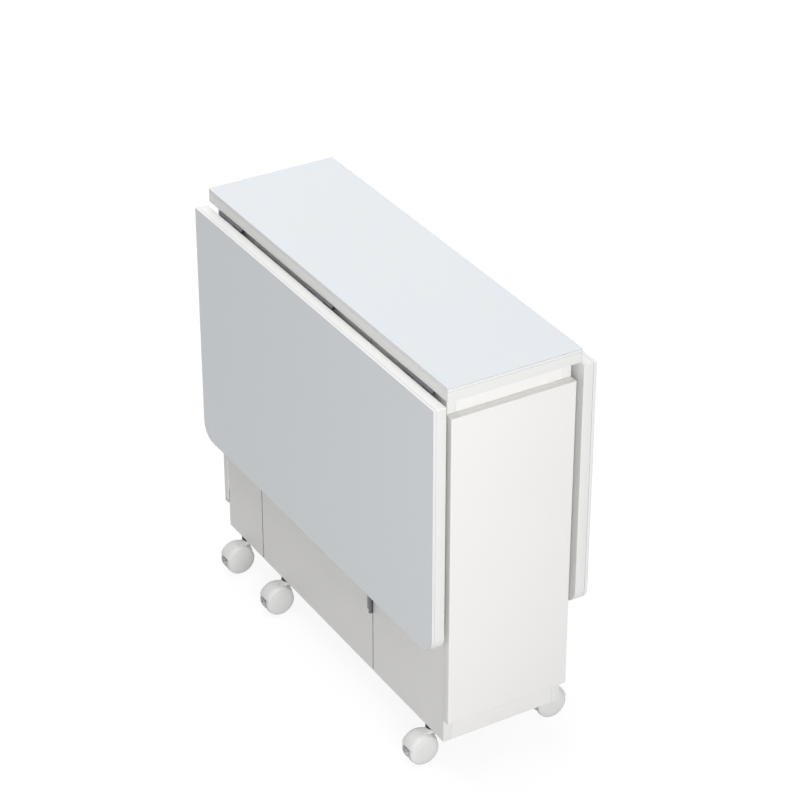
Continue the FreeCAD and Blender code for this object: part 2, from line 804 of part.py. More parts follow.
def write():
    os.makedirs("parts", exist_ok=True)
    for piece in parts:
        piece.Shape.exportStep(f"parts/{piece.Label}.step")
        print(f"{piece.Label}: {len(piece.Shape.Solids)} solids, {piece.Shape.Volume / 1000:.1f} cm3")
    print(f"{len(parts)} sub-parts")


build()
check()
write()
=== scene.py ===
"""Looks of the narrow drop-leaf table on casters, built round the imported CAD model.

Metres in Blender, millimetres in the shapes below: +Z up, floor at z = 0, +X along the table.
"""

import math

import bmesh
import bpy
import numpy as np
from bpy.props import FloatProperty, FloatVectorProperty, IntProperty, PointerProperty
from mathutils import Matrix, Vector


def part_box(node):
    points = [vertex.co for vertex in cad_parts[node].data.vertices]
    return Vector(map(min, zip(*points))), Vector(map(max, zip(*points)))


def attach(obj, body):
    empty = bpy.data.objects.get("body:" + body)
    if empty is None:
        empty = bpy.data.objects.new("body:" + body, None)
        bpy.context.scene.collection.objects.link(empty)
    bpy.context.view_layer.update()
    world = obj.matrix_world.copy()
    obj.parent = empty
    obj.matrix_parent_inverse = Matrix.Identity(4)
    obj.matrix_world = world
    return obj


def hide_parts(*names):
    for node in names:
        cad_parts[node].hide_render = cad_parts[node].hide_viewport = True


bl_info = {
    "name": "Drop-leaf table",
    "version": (1, 0, 0),
    "blender": (4, 5, 0),
    "location": "3D View > Sidebar > Table",
    "description": "Boards, glass, hinges, doors and casters of a narrow drop-leaf table",
    "category": "Object",
}

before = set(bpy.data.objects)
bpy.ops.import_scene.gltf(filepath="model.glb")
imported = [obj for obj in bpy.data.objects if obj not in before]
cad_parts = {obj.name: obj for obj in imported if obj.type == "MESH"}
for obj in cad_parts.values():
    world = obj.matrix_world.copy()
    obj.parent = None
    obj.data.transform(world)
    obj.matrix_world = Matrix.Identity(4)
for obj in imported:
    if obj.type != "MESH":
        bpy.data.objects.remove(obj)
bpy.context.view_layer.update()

SIDES = {"front": -1, "back": 1}
ENDS = {"left": -1, "right": 1}
CASTERS = [f"{side}_{spot}" for side in SIDES for spot in ("right", "left", "gate")]

# sizes in mm that the boxes of the CAD nodes don't give
LEAF_HINGES = (-315, 0, 315)
NOTCH_HALF, NOTCH_DEPTH = 42.8, 2.3
BUTT_HINGES = (225, 600)
SWIVEL_OFFSET = 21
AXLE_BORE = 3.05

# ---------------------------------------------------------------- colours and materials


def linear(code):
    """An sRGB hex colour as the linear values that Blender works with."""
    value = np.array([int(code[k : k + 2], 16) / 255 for k in (1, 3, 5)])
    value = np.where(value <= 0.04045, value / 12.92, ((value + 0.055) / 1.055) ** 2.4)
    return tuple(float(v) for v in value)


def per(size):
    """Noise scale for a pattern whose marks are this many millimetres across."""
    return 1000 / size


def add(tree, kind, inputs=None, **settings):
    """Adds a node with its settings; an input that is another node's output is linked."""
    made = tree.nodes.new(kind)
    for name, value in settings.items():
        setattr(made, name, value)
    for name, value in (inputs or {}).items():
        if isinstance(value, bpy.types.NodeSocket):
            tree.links.new(value, made.inputs[name])
        else:
            made.inputs[name].default_value = value
    return made


def finish(name, colour, shade, tone, rough, rough_size, bumps=(), **shader):
    """A surface whose colour, gloss and height each vary on a scale of their own.

    The colour moves between colour and shade over marks of tone mm, the roughness between the two
    values of rough over marks of rough_size mm, and each bump is (size in mm, height in mm, strength).
    """
    material = bpy.data.materials.get(name)
    if material:
        return material
    material = bpy.data.materials.new(name)
    material.use_nodes = True
    tree = material.node_tree
    surface = tree.nodes["Principled BSDF"]
    place = add(tree, "ShaderNodeTexCoord").outputs["Object"]
    cloud = add(tree, "ShaderNodeTexNoise", {"Vector": place, "Scale": per(tone), "Detail": 3.0})
    mix = add(
        tree,
        "ShaderNodeMix",
        {"Factor": cloud.outputs["Fac"], "A": (*colour, 1), "B": (*shade, 1)},
        data_type="RGBA",
    )
    tree.links.new(mix.outputs["Result"], surface.inputs["Base Color"])
    haze = add(tree, "ShaderNodeTexNoise", {"Vector": place, "Scale": per(rough_size), "Detail": 4.0})
    limits = {"From Min": 0.3, "From Max": 0.7, "To Min": rough[0], "To Max": rough[1]}
    spread = add(tree, "ShaderNodeMapRange", {"Value": haze.outputs["Fac"], **limits})
    tree.links.new(spread.outputs["Result"], surface.inputs["Roughness"])
    normal = None
    for size, height, strength in bumps:
        grain = add(tree, "ShaderNodeTexNoise", {"Vector": place, "Scale": per(size), "Detail": 2.0})
        inputs = {"Height": grain.outputs["Fac"], "Distance": height / 1000, "Strength": strength}
        if normal:
            inputs["Normal"] = normal
        normal = add(tree, "ShaderNodeBump", inputs).outputs["Normal"]
    if normal:
        tree.links.new(normal, surface.inputs["Normal"])
    for socket, value in shader.items():
        surface.inputs[socket.replace("_", " ")].default_value = value
    return material


def melamine():
    """White melamine-faced board: pressed paper and resin, satin, with a fine pearl grain."""
    looks = bpy.context.scene.table_boards
    return finish(
        "white_melamine_board", looks.face, linear("#EBEAE8"), 220, (0.36, 0.44), 45,
        [(1.6, 0.03, 0.25)], IOR=1.5,
    )


def edging():
    """White ABS edging: extruded strip, a little glossier and smoother than the board's face."""
    looks = bpy.context.scene.table_boards
    return finish(
        "white_abs_edging", looks.edge, linear("#E6E6E4"), 90, (0.3, 0.34), 40,
        [(3.0, 0.02, 0.15)], IOR=1.53,
    )


def painted_seam_shade():
    """Painted shade on a board edge that faces an open seam: a quite matt grey that stands for the seam's
    shadow.
    """
    return finish(
        "painted_seam_shade_board_edge", linear("#92928F"), linear("#888885"), 8, (0.6, 0.75), 6,
        [(1.2, 0.08, 0.4)], IOR=1.48,
    )


def painted_glass():
    """Float glass painted on its back: the paint's light grey under a hard clear gloss."""
    looks = bpy.context.scene.table_glass
    return finish(
        "back_painted_float_glass", looks.paint, linear("#D9DEE3"), 320, (0.03, 0.07), 70,
        [(140, 0.05, 0.08)], IOR=1.52, Coat_Weight=0.4, Coat_Roughness=0.02, Coat_IOR=1.52,
    )


def glass_edge():
    """Polished edge of extra-clear glass: light gathered in the plate leaves it nearly white."""
    return finish(
        "polished_glass_edge", linear("#EDEDEE"), linear("#E6E6E8"), 60, (0.1, 0.2), 12,
        [(2.0, 0.02, 0.15)], IOR=1.52,
    )


def ground_arris_and_shade():
    """Ground arris of the glass: a narrow matt line whose grey, darker than the polished edge, is partly
    painted shade for the dark line along the glass's edge.
    """
    return finish(
        "ground_glass_arris_and_shade", linear("#C4C4C6"), linear("#B9B9BC"), 20, (0.5, 0.7), 6,
        [(0.8, 0.02, 0.3)], IOR=1.52,
    )


def hinge_steel():
    """Dark nickel plated steel: grey metal, with the stamped sheet's fine unevenness."""
    looks = bpy.context.scene.table_hinges
    return finish(
        "dark_nickel_plated_steel", looks.steel, linear("#77787C"), 12, (0.32, 0.5), 6,
        [(1.2, 0.03, 0.3)], Metallic=1.0,
    )


def zinc_steel():
    """Bright zinc plated steel: pale metal with a slight blue cast and soft handling marks."""
    looks = bpy.context.scene.table_hinges
    return finish(
        "zinc_plated_steel", looks.screw, linear("#B4B8BE"), 8, (0.25, 0.42), 5,
        [(1.0, 0.02, 0.25)], Metallic=1.0,
    )


def nylon():
    """Moulded nylon: white, semi-gloss, with the soft spark-eroded grain of its mould."""
    looks = bpy.context.scene.table_casters
    return finish(
        "moulded_white_nylon", looks.nylon, linear("#E1E1E0"), 30, (0.32, 0.42), 10,
        [(1.2, 0.03, 0.2)], IOR=1.53,
    )


def tread():
    """Cast polyurethane tread: pale grey and duller than the wheel, a little darker in patches about 9 mm
    across.
    """
    return finish(
        "pale_polyurethane_tread", linear("#D2D2D0"), linear("#BDBDBA"), 9, (0.5, 0.68), 5,
        [(1.0, 0.05, 0.4)], IOR=1.5,
    )


def black_plastic():
    """Moulded black polypropylene with a fine matt texture."""
    return finish(
        "moulded_black_polypropylene", linear("#17181A"), linear("#222325"), 10, (0.42, 0.55), 6,
        [(0.9, 0.03, 0.35)], IOR=1.49,
    )


def grey_plastic():
    """Moulded grey acetal of the brake pedals, rubbed a little brighter where a shoe meets it."""
    looks = bpy.context.scene.table_casters
    return finish(
        "moulded_grey_acetal", looks.pedal, linear("#A6A8AA"), 5, (0.38, 0.52), 4,
        [(0.9, 0.03, 0.35)], IOR=1.48,
    )


# ---------------------------------------------------------------- surfaces


def outline(corners, radii, steps=8):
    """Closed outline of a polygon with rounded corners, counter-clockwise.

    A corner of radius r becomes points on the circle that touches both of its edges: they run from
    one touching point to the other, which lie r / tan(half the corner's angle) from the corner.
    """
    corners = np.array(corners, float)
    lines = []
    for point, before, after, radius in zip(corners, np.roll(corners, 1, 0), np.roll(corners, -1, 0), radii):
        if radius == 0:
            lines.append(point[None])
            continue
        a = (before - point) / np.linalg.norm(before - point)
        b = (after - point) / np.linalg.norm(after - point)
        half = math.acos(float(np.clip(a @ b, -1, 1))) / 2
        middle = point + (a + b) / np.linalg.norm(a + b) * radius / math.sin(half)
        start, stop = (point + d * radius / math.tan(half) - middle for d in (a, b))
        t = np.linspace(0, 1, steps + 1)[:, None]
        swing = math.pi - 2 * half
        lines.append(middle + (start * np.sin((1 - t) * swing) + stop * np.sin(t * swing)) / math.sin(swing))
    return np.concatenate(lines)


def moved_in(line, insets):
    """The outline moved inward by each inset, one row each.

    A point slides along the sum of its two edges' inward normals, scaled so that both edges move by
    the inset.
    """
    along = np.roll(line, -1, 0) - line
    along /= np.linalg.norm(along, axis=1, keepdims=True)
    inward = np.stack([-along[:, 1], along[:, 0]], 1)
    slide = inward + np.roll(inward, 1, 0)
    slide /= (slide * inward).sum(1, keepdims=True)
    return line + np.asarray(insets, float)[:, None, None] * slide


def edge_profile(thick, near, far, steps=4):
    """(inset, depth) pairs across the edge of a flat piece.

    Each corner of the edge is a quarter circle: inset r (1 - sin a), depth r (1 - cos a), for a from
    0 to 90 degrees. A narrow flat ring inside each face keeps the face flat in the shading.
    """
    a = np.linspace(0, math.pi / 2, steps + 1)
    first = np.stack([near * (1 - np.sin(a)), near * (1 - np.cos(a))], 1)
    last = np.stack([far * (1 - np.sin(a)), thick - far * (1 - np.cos(a))], 1)[::-1]
    ring = 0.5
    return np.concatenate([[(near + ring, 0)], first, last, [(far + ring, thick)]])


def plate(line, start, stop, axes, near=0.8, far=0.8):
    """Grid of a flat piece: its outline carried across its thickness along the edge profile.

    Row k is the outline moved in by the profile's inset k, at the profile's depth k. axes gives the
    directions of the outline's two coordinates and of the depth.
    """
    profile = edge_profile(abs(stop - start), near, far)
    grid = np.zeros((len(profile), len(line), 3))
    grid[..., list(axes[:2])] = moved_in(line, profile[:, 0])
    grid[..., axes[2]] = (start + math.copysign(1, stop - start) * profile[:, 1])[:, None]
    return grid


def turned(profile, middle, axis, steps=64):
    """Grid of a turned piece: (place along the axis, radius) pairs spun about the axis.

    Point (s, r) goes to s along the axis and r cos t, r sin t across it, for t once round.
    """
    profile = np.asarray(profile, float)
    t = np.linspace(0, 2 * math.pi, steps, endpoint=False)
    grid = np.zeros((len(profile), steps, 3))
    u, v = (axis + 1) % 3, (axis + 2) % 3
    grid[..., axis] = profile[:, :1]
    grid[..., u] = profile[:, 1:] * np.cos(t)
    grid[..., v] = profile[:, 1:] * np.sin(t)
    return grid + np.asarray(middle, float)


def skin(grid):
    """Vertices and faces of a grid whose rows are loops, its two end rows filled."""
    rows, columns = grid.shape[:2]
    index = np.arange(rows * columns).reshape(rows, columns)
    lower, upper = index[:-1], index[1:]
    quads = np.stack([lower, np.roll(lower, -1, 1), np.roll(upper, -1, 1), upper], -1).reshape(-1, 4)
    return grid.reshape(-1, 3), [*quads.tolist(), index[0].tolist(), index[-1][::-1].tolist()]


def ring_finish(grid, corners=1, seams=(), rounds=4):
    """Finish number of each face of a plate.

    It is 0 on the plate's faces, 1 round its edge, corners on the edge's rounded corners, and 2 on the
    flat of the edge along the stretches of the outline numbered in seams.
    """
    rows, columns = grid.shape[:2]
    numbers = np.ones((rows - 1, columns), int)
    numbers[[0, -1]] = 0
    numbers[1 : 1 + rounds] = numbers[-1 - rounds : -1] = corners
    for column in seams:
        numbers[1 + rounds : -1 - rounds, column] = 2
    return np.concatenate([numbers.ravel(), [0, 0]])


def gather(skins):
    """Several skins as one."""
    points, faces, count = [], [], 0
    for some, theirs in skins:
        points.append(some)
        faces += [[k + count for k in face] for face in theirs]
        count += len(some)
    return np.concatenate(points), faces


def piece(name, made, finishes, body, nodes=(), which=None, sharp=32):
    """Object of a skin given in mm, riding on a CAD body and standing for the CAD nodes named."""
    points, faces = made
    mesh = bpy.data.meshes.new(name)
    mesh.from_pydata((points / 1000).tolist(), [], faces)
    for each in finishes:
        mesh.materials.append(each)
    if which is not None:
        mesh.polygons.foreach_set("material_index", np.asarray(which, np.int32))
    shell = bmesh.new()
    shell.from_mesh(mesh)
    bmesh.ops.recalc_face_normals(shell, faces=shell.faces)
    shell.to_mesh(mesh)
    shell.free()
    mesh.polygons.foreach_set("use_smooth", np.ones(len(mesh.polygons), bool))
    mesh.set_sharp_from_angle(angle=math.radians(sharp))
    mesh.update()
    made_object = bpy.data.objects.new(name, mesh)
    bpy.context.scene.collection.objects.link(made_object)
    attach(made_object, body)
    if nodes:
        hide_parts(*nodes)
    return made_object


def dress(nodes, material):
    """A material on CAD nodes that stay in view."""
    for name in nodes:
        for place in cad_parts[name].material_slots:
            place.material = material


def millimetres(node):
    """Lowest and highest corner of a CAD node, in mm."""
    low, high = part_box(node)
    return np.array(low) * 1000, np.array(high) * 1000


def rectangle(low, high, radius=0.0):
    """Rounded rectangle between two corners."""
    (u0, v0), (u1, v1) = low, high
    return outline([(u0, v0), (u1, v0), (u1, v1), (u0, v1)], (radius,) * 4, 12)


def facing(grid, origin, outward, upward):
    """A grid drawn round the z axis, set down at the origin with z along outward."""
    outward, upward = np.array(outward, float), np.array(upward, float)
    across = np.cross(upward, outward)
    return grid @ np.stack([across, upward, outward]) + np.array(origin, float)


def screw_head(radius, proud, sunk=1.0):
    """Grid of a screw head with a cross recess, from its rim in the metal up to its middle.

    Over a polar grid the height is proud (1 - (r / R)^4), lowered by 0.7 mm where the point lies in
    one of two crossed bars 1.1 mm wide and 3.4 mm long.
    """
    t = np.linspace(0, 2 * math.pi, 48, endpoint=False)
    r = radius * np.array([1.0, 1.0, 0.93, 0.8, 0.66, 0.6, 0.53, 0.4, 0.3, 0.22, 0.16, 0.03])
    x, y = r[:, None] * np.cos(t), r[:, None] * np.sin(t)
    z = proud * (1 - (r / radius) ** 4)[:, None] + 0 * x
    short, long = np.minimum(abs(x), abs(y)), np.maximum(abs(x), abs(y))
    z = z - 0.7 * ((short < 0.2 * radius) & (long < 0.58 * radius))
    z[0] -= sunk
    return np.stack([x, y, z], -1)


# ---------------------------------------------------------------- boards


class TableBoards(bpy.types.PropertyGroup):
    """Sizes and colours of the boards."""

    face: FloatVectorProperty(
        name="Face", description="Colour of the board's faces", subtype="COLOR", size=3,
        min=0, max=1, default=linear("#EFEEEC"),
    )
    edge: FloatVectorProperty(
        name="Edging", description="Colour of the edging strip", subtype="COLOR", size=3,
        min=0, max=1, default=linear("#E8E8E6"),
    )
    rounding: FloatProperty(
        name="Edge rounding", description="Radius of the trimmed edging", default=0.0006,
        min=0.0003, max=0.002, unit="LENGTH", subtype="DISTANCE",
    )


def board(name, node, thin, body, line=None, seams=()):
    """One edged board that stands for a CAD node; thin is the axis of its thickness.

    The stretches of its outline numbered in seams face another board across an open seam; there its edge
    takes a painted shade, a grey for the seam's shadow.
    """
    low, high = millimetres(node)
    u, v = [k for k in range(3) if k != thin]
    if line is None:
        line = rectangle(low[[u, v]], high[[u, v]])
    radius = bpy.context.scene.table_boards.rounding * 1000
    grid = plate(line, low[thin], high[thin], (u, v, thin), radius, radius)
    # the third finish is painted shade: the seam's shadow as grey on the edges that face a seam
    looks = [melamine(), edging(), painted_seam_shade()]
    return piece(name, skin(grid), looks, body, [node], ring_finish(grid, 1, seams))


def leaf_outline(low, high, corner=33.0):
    """Outline of a leaf seen from the side: nearly square above, rounded corners below."""
    return outline(
        [low, (high[0], low[1]), high, (low[0], high[1])], (corner, corner, 1.5, 1.5), 20
    )


def notched(low, high, from_x, to_x, depth):
    """Outline of a fixed side board with the shallow notch for a leaf hinge in its top edge."""
    (x0, z0), (x1, z1) = low, high
    corners = [(x0, z0), (x1, z0), (x1, z1), (to_x, z1), (to_x, z1 - depth), (from_x, z1 - depth)]
    return outline([*corners, (from_x, z1), (x0, z1)], [0] * 8)


class MESH_OT_table_boards(bpy.types.Operator):
    """Make the top, the leaves, the sides, the gates and the end strips as edged boards"""

    bl_idname = "mesh.table_boards"
    bl_label = "Boards"
    bl_options = {"REGISTER", "UNDO"}

    def execute(self, context):
        low, high = millimetres("top_board")
        board("top_board_edged", "top_board", 2, "cabinet", line=rectangle(low[:2], high[:2], 4))
        for side in SIDES:
            low, high = millimetres(f"leaf_board_{side}")
            shape = leaf_outline(low[[0, 2]], high[[0, 2]])
            board(f"leaf_board_edged_{side}", f"leaf_board_{side}", 1, f"leaf_{side}", line=shape)
            board(f"gate_edged_{side}", f"gate_{side}", 1, "cabinet", seams=(1, 3))
            for end, way in ENDS.items():
                node = f"side_board_{side}_{end}"
                low, high = millimetres(node)
                hinge = LEAF_HINGES[-1] * way
                near, far = hinge - NOTCH_HALF, hinge + NOTCH_HALF
                shape = notched(low[[0, 2]], high[[0, 2]], near, far, NOTCH_DEPTH)
                seams = (7,) if way > 0 else (1,)
                board(f"side_board_edged_{side}_{end}", node, 1, "cabinet", shape, seams)
        for end in ENDS:
            board(f"end_rail_edged_{end}", f"end_rail_{end}", 0, "cabinet")
            board(f"plinth_edged_{end}", f"plinth_{end}", 0, "cabinet")
        inner = ["floor_board", "deck_board", *(f"{n}_{e}" for n in ("partition", "shelf") for e in ENDS)]
        dress(inner, melamine())
        return {"FINISHED"}


# ---------------------------------------------------------------- glass


class TableGlass(bpy.types.PropertyGroup):
    """Colour and edge of the glass plates."""

    paint: FloatVectorProperty(
        name="Paint", description="Colour of the paint behind the glass", subtype="COLOR", size=3,
        min=0, max=1, default=linear("#DBE0E4"),
    )
    arris: FloatProperty(
        name="Arris", description="Width of the ground edge", default=0.0007,
        min=0.0002, max=0.002, unit="LENGTH", subtype="DISTANCE",
    )


def glass(name, node, thin, body, line):
    """One glass plate that stands for a CAD node, with a ground arris round its polished edge."""
    low, high = millimetres(node)
    u, v = [k for k in range(3) if k != thin]
    arris = bpy.context.scene.table_glass.arris * 1000
    grid = plate(line, low[thin], high[thin], (u, v, thin), arris, arris)
    # the arris finish is a real matt arris whose darker grey is partly painted shade along the edge
    looks = [painted_glass(), glass_edge(), ground_arris_and_shade()]
    return piece(name, skin(grid), looks, body, [node], ring_finish(grid, 2))


class MESH_OT_table_glass(bpy.types.Operator):
    """Make the glass plate of the top and of each leaf, with a polished edge"""

    bl_idname = "mesh.table_glass"
    bl_label = "Glass plates"
    bl_options = {"REGISTER", "UNDO"}

    def execute(self, context):
        low, high = millimetres("top_glass")
        glass("top_glass_polished", "top_glass", 2, "cabinet", rectangle(low[:2], high[:2], 4))
        for side in SIDES:
            node = f"leaf_glass_{side}"
            low, high = millimetres(node)
            shape = leaf_outline(low[[0, 2]], high[[0, 2]])
            glass(f"leaf_glass_polished_{side}", node, 1, f"leaf_{side}", shape)
        return {"FINISHED"}


# ---------------------------------------------------------------- hinges


class TableHinges(bpy.types.PropertyGroup):
    """Colours and screws of the hinges and brackets."""

    steel: FloatVectorProperty(
        name="Hinge steel", description="Colour of the dark plating", subtype="COLOR", size=3,
        min=0, max=1, default=linear("#6C6D71"),
    )
    screw: FloatVectorProperty(
        name="Zinc", description="Colour of the screws and brackets", subtype="COLOR", size=3,
        min=0, max=1, default=linear("#C6C9CD"),
    )
    head: FloatProperty(
        name="Screw head", description="Diameter of a hinge screw's head", default=0.0062,
        min=0.004, max=0.009, unit="LENGTH", subtype="DISTANCE",
    )


def screws(name, places, outward, upward, radius, proud, body, finish_of):
    """Several screw heads in one piece."""
    heads = [skin(facing(screw_head(radius, proud), p, outward, upward)) for p in places]
    return piece(name, gather(heads), [finish_of], body, sharp=50)


def rest_block(side):
    """The gate's rest on the inside of a leaf: a block with rounded edges."""
    low, high = millimetres(f"gate_rest_{side}")
    line = rectangle(low[[0, 2]], high[[0, 2]], 3)
    grid = plate(line, low[1], high[1], (0, 2, 1), 1.2, 1.2)
    piece(
        f"gate_rest_moulded_{side}", skin(grid), [nylon()], f"leaf_{side}",
        [f"gate_rest_{side}"],
    )


class MESH_OT_table_hinges(bpy.types.Operator):
    """Finish the leaf hinges and the gates' butt hinges, and put in their screws"""

    bl_idname = "mesh.table_hinges"
    bl_label = "Hinges and screws"
    bl_options = {"REGISTER", "UNDO"}

    def execute(self, context):
        radius = context.scene.table_hinges.head * 500
        steel, zinc = hinge_steel(), zinc_steel()
        dress(["leaf_hinge_top_flaps", "gate_hinge_board_flaps", "gate_hinge_gate_flaps"], steel)
        for side, way in SIDES.items():
            dress([f"leaf_hinge_flaps_{side}"], steel)
            hinge_low = millimetres(f"leaf_hinge_flaps_{side}")[0][2]
            face = 125 * way
            places = [
                (middle + shift, face, hinge_low + 8)
                for middle in LEAF_HINGES for shift in (-30, 0, 30)
            ]
            screws(
                f"leaf_hinge_screws_{side}", places, (0, -way, 0), (0, 0, 1), radius, 0.5,
                f"leaf_{side}", zinc,
            )
            rest_block(side)
            flap_middle, flap_face = 139.6, 116.5 * way
            places = [
                (flap_middle, flap_face, level + shift)
                for level in BUTT_HINGES for shift in (-25, 0, 25)
            ]
            screws(
                f"gate_hinge_screws_{side}", places, (0, way, 0), (0, 0, 1), radius * 0.8, 0.5,
                "cabinet", zinc,
            )
        return {"FINISHED"}


# ---------------------------------------------------------------- end doors


def door_grid(end):
    """Grid of a panel door: its level outline carried up its height.

    The outline is a rectangle with rounded corners. At the two pivot slots the rounded corner on the
    pivot's side goes in to the slot's inner corner, point for point, and comes out again above it.
    The lowest and highest rows are moved in along a quarter circle.
    """
    way = ENDS[end]
    low, high = millimetres(f"door_{end}")
    inner, outer = (low[0], high[0]) if way > 0 else (high[0], low[0])
    thick = abs(outer - inner)
    wide = high[1]
    slot = (wide - 7.9, 12.7)
    start, stop = np.array([slot[0], 0.0]), np.array([wide, slot[1]])
    line = outline(
        [start, (wide, 0), stop, (wide, thick), (-wide, thick), (-wide, 0)],
        (0, 2.5, 0, 2.5, 2.5, 2.5), 8,
    )
    count = 9
    open_line = line.copy()
    t = np.linspace(0, math.pi / 2, count)[:, None]
    open_line[1 : 1 + count] = (slot[0], slot[1]) + 0.3 * np.hstack([1 - np.sin(t), np.cos(t) - 1])
    profile = edge_profile(high[2] - low[2], 1.2, 1.2)
    shut = moved_in(line, profile[:, 0])
    half = len(profile) // 2
    rows, levels = list(shut[:half]), list(low[2] + profile[:half, 1])
    for near in (low[2] + 4.5, high[2] - 8.5):
        rows += [line, open_line, open_line, line]
        levels += [near, near, near + 4, near + 4]
    rows += list(shut[half:])
    levels += list(low[2] + profile[half:, 1])
    rows, levels = np.array(rows), np.array(levels)
    grid = np.zeros((*rows.shape[:2], 3))
    grid[..., 0] = inner + way * rows[..., 1]
    grid[..., 1] = way * rows[..., 0]
    grid[..., 2] = levels[:, None]
    return grid


class MESH_OT_table_doors(bpy.types.Operator):
    """Make the two end doors with their pivot slots, strike plates, brackets and catches"""

    bl_idname = "mesh.table_doors"
    bl_label = "End doors"
    bl_options = {"REGISTER", "UNDO"}

    def execute(self, context):
        for end, way in ENDS.items():
            body = f"end_door_{end}"
            grid = door_grid(end)
            piece(
                f"door_panel_{end}", skin(grid), [melamine()], body, [f"door_{end}"]
            )
            low, high = millimetres(f"door_strike_{end}")
            inner = low[0] if way > 0 else high[0]
            line = rectangle(low[1:], high[1:], 2)
            grid = plate(line, inner - 0.25 * way, inner + 0.75 * way, (1, 2, 0), 0.2, 0.1)
            made = [skin(grid)]
            middle = (inner - 0.25 * way, (low[1] + high[1]) / 2, (low[2] + high[2]) / 2)
            made.append(skin(facing(screw_head(2.4, 0.08, 0.6), middle, (-way, 0, 0), (0, 0, 1))))
            piece(
                f"door_strike_plate_{end}", gather(made), [zinc_steel()], body,
                [f"door_strike_{end}"],
            )
        dress(["door_pivot_brackets"], zinc_steel())
        dress(["door_catches"], nylon())
        return {"FINISHED"}


# ---------------------------------------------------------------- casters


class TableCasters(bpy.types.PropertyGroup):
    """Colours and fineness of the casters."""

    nylon: FloatVectorProperty(
        name="Nylon", description="Colour of the hoods and wheels", subtype="COLOR", size=3,
        min=0, max=1, default=linear("#E8E8E7"),
    )
    pedal: FloatVectorProperty(
        name="Pedal", description="Colour of the brake pedal", subtype="COLOR", size=3,
        min=0, max=1, default=linear("#9C9EA1"),
    )
    steps: IntProperty(
        name="Steps round", description="Faces round a wheel", default=72, min=24, max=160
    )


def wheel_profile():
    """(x, radius) pairs of the right wheel of a pair, from its inner face to its middle.

    The tread is flat with a groove on each side; the face beyond it is a quarter of a superellipse,
    (r / 27.7)^3 + ((x - 11) / 8.2)^3 = 1, with a shallow ring groove near its middle.
    """
    a = (math.pi / 2 - 0.02) * np.linspace(0.06, 1, 26) ** 1.5
    face = np.stack([11 + 8.2 * (1 - np.cos(a) ** 3) ** (1 / 3), 27.7 * np.cos(a)], 1)
    dip = 0.35 * np.exp(-(((face[:, 1] - 9.5) / 0.7) ** 2))
    face[:, 0] -= dip
    tread_line = [
        (6, 3), (6, 26.6), (6.5, 27.6), (7.2, 28), (10.1, 28), (10.6, 27.7), (10.8, 27.0), (11.1, 26.9),
    ]
    return np.concatenate([tread_line, face])


def hood_section(steps=28):
    """(x, radius) loop of the hood's wall, cut square to its path round the wheels.

    Its middle line is a superellipse of power 3.2, 19.5 mm to each side and 12.8 mm over radius 17,
    between the angles where its radius is 26.6. The wall is 1.9 mm thick with half-round lips.
    """
    power, half_wide, rise, base, wall = 3.2, 19.5, 12.8, 17.0, 0.95
    low = math.asin(((26.6 - base) / rise) ** (power / 2))
    t = np.linspace(low, math.pi - low, steps)
    middle = np.stack(
        [
            half_wide * np.sign(np.cos(t)) * abs(np.cos(t)) ** (2 / power),
            base + rise * np.sin(t) ** (2 / power),
        ],
        1,
    )
    run = np.gradient(middle, axis=0)
    run /= np.linalg.norm(run, axis=1, keepdims=True)
    out = np.stack([run[:, 1], -run[:, 0]], 1)
    lip = np.array([math.pi / 4, 0, -math.pi / 4])[:, None]
    last = middle[-1] + wall * (run[-1] * np.cos(lip) + out[-1] * np.sin(lip))
    first = middle[0] + wall * (-run[0] * np.cos(lip) - out[0] * np.sin(lip))
    return np.concatenate([middle + wall * out, last, (middle - wall * out)[::-1], first]), middle


def hood_grid(start=34.0, stop=160.0, steps=40):
    """Grid of the hood: its section carried round the wheels' axis.

    Point (x, r) goes to (x, r cos t, r sin t). Over the last degrees at each end the section shrinks
    towards its middle line by sqrt(1 - s^2), which rounds the hood's rim.
    """
    section, middle = hood_section()
    line = np.concatenate([middle, middle[-1:].repeat(3, 0), middle[::-1], middle[:1].repeat(3, 0)])
    s = np.array([0.98, 0.8, 0.5, 0.2])
    shrink = np.concatenate([np.sqrt(1 - s**2), np.ones(steps), np.sqrt(1 - s[::-1] ** 2)])
    ends = 2.0 * (1 - s)
    t = np.concatenate([start + ends, np.linspace(start + 2.2, stop - 2.2, steps), stop - ends[::-1]])
    t = np.radians(t)[:, None]
    flat = line[None] + (section - line)[None] * shrink[:, None, None]
    return np.stack([flat[..., 0] + 0 * t, flat[..., 1] * np.cos(t), flat[..., 1] * np.sin(t)], -1)


def ridged_block(low, high, ridges):
    """Grid of a block with softly rounded edges, a superellipsoid between two corners, ridged outside.

    With c(a) = sign(cos a) |cos a|^(2 / 5) and s(a) likewise, a point is (c(u) c(v), c(u) s(v), s(u))
    times the half sizes. Ridges lower the outer face in small waves across its height.
    """
    low, high = np.array(low, float), np.array(high, float)
    power, steps = 5, 18
    u = np.linspace(-math.pi / 2 + 0.05, math.pi / 2 - 0.05, steps)[:, None]
    v = np.linspace(0, 2 * math.pi, 2 * steps, endpoint=False)

    def swell(value):
        return np.sign(value) * abs(value) ** (2 / power)

    level, height = swell(np.cos(u)), swell(np.sin(u))
    unit = np.stack([level * swell(np.cos(v)), level * swell(np.sin(v)), height + 0 * v], -1)
    grid = (low + high) / 2 + unit * (high - low) / 2
    wave = 0.5 - 0.5 * np.cos(unit[..., 2] * math.pi * ridges)
    grid[..., 1] += 0.35 * wave * (unit[..., 1] < -0.6)
    return grid


def across(corners, radii, half_wide, edge, steps=6):
    """Grid of a flat piece of a caster, its (y, z) outline carried half_wide mm to each side."""
    return plate(outline(corners, radii, steps), -half_wide, half_wide, (1, 2, 0), edge, edge)


